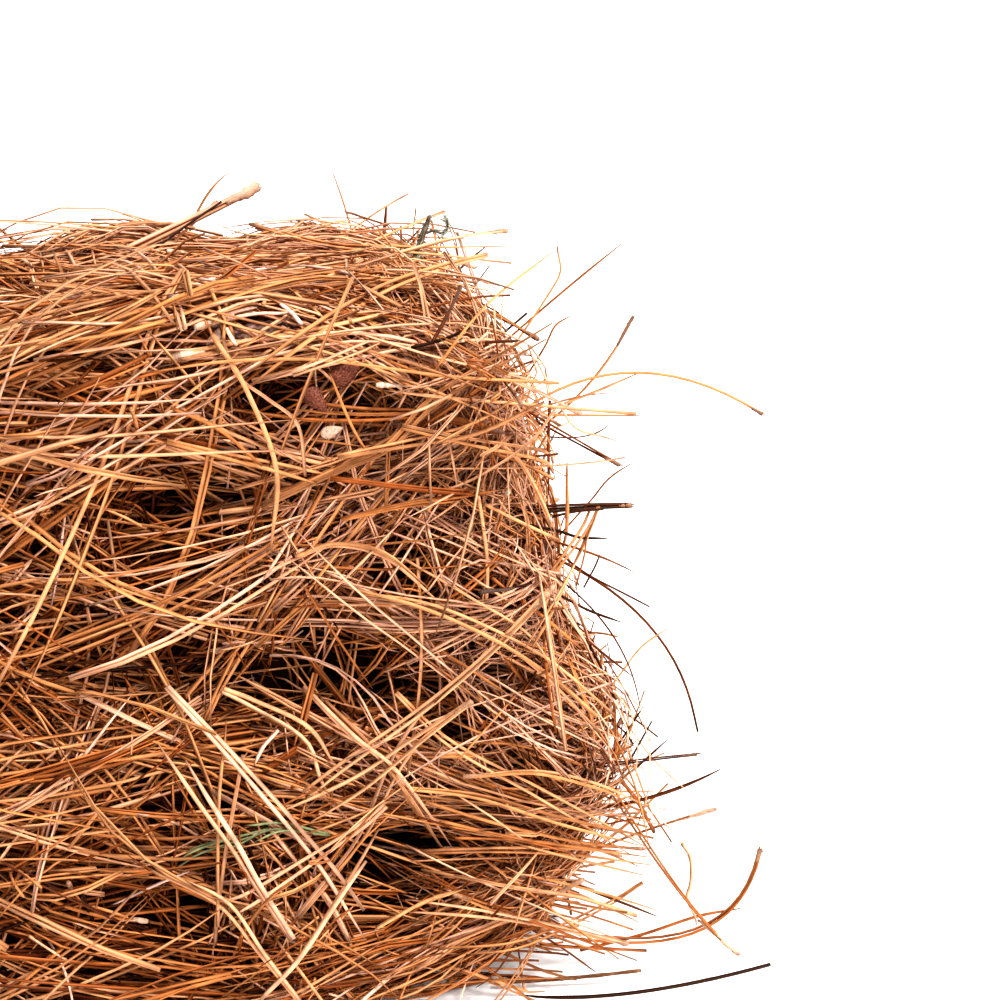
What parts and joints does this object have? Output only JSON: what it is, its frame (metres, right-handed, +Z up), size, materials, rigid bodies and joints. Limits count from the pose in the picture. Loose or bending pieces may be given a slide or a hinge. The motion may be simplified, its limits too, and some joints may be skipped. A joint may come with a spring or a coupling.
{
  "type": "pine straw bale",
  "caption": "Rectangular bale of pine straw: pressed layers of long brown pine needles tied with baling twine, with loose needles, twigs and litter.",
  "frame": {"origin": "middle of the flat underside that the bale rests on, at ground level", "axes": "+Z up, +X along the bale's length, -Y out of the long side shown in front"},
  "size_m": [0.8801, 0.4344, 0.4151],
  "materials": {
    "straw": "matte",
    "loose_needle": "satin",
    "dark_twig": "matte",
    "pale_sheath": "matte",
    "bark": "matte",
    "cone_scale": "satin",
    "lichen_twig": "matte",
    "twine": "matte"
  },
  "bodies": {
    "root": {"back_bundle_1": "loose_needle", "back_needle_1": "loose_needle", "back_needle_2": "loose_needle", "back_twine": "twine", "back_twine_knot": "twine", "bark_flake": "bark", "bottom_flake": "straw", "bud_scale_1": "pale_sheath", "bud_scale_2": "pale_sheath", "bud_scale_3": "pale_sheath", "cone_scale_1": "cone_scale", "cone_scale_2": "cone_scale", "cone_scale_3": "cone_scale", "dark_twig_1": "dark_twig", "front_bundle_1": "loose_needle", "front_needle_1": "loose_needle", "front_needle_2": "loose_needle", "front_twine": "twine", "front_twine_knot": "twine", "left_bundle_1": "loose_needle", "left_needle_1": "loose_needle", "left_needle_2": "loose_needle", "left_needle_3": "loose_needle", "left_needle_4": "loose_needle", "lichen_branchlet": "lichen_twig", "lichen_twig": "lichen_twig", "lower_flake": "straw", "pale_stalk": "pale_sheath", "right_bundle_1": "loose_needle", "right_bundle_2": "loose_needle", "right_bundle_3": "loose_needle", "right_bundle_4": "loose_needle", "right_bundle_5": "loose_needle", "right_bundle_6": "loose_needle", "right_needle_1": "loose_needle", "right_needle_10": "loose_needle", "right_needle_11": "loose_needle", "right_needle_12": "loose_needle", "right_needle_13": "loose_needle", "right_needle_14": "loose_needle", "right_needle_2": "loose_needle", "right_needle_3": "loose_needle", "right_needle_4": "loose_needle", "right_needle_5": "loose_needle", "right_needle_6": "loose_needle", "right_needle_7": "loose_needle", "right_needle_8": "loose_needle", "right_needle_9": "loose_needle", "top_bundle_1": "loose_needle", "top_bundle_2": "loose_needle", "top_flake": "straw", "top_needle_1": "loose_needle", "top_needle_2": "loose_needle", "top_needle_3": "loose_needle", "top_needle_4": "loose_needle", "upper_flake": "straw"}
  },
  "joints": []
}
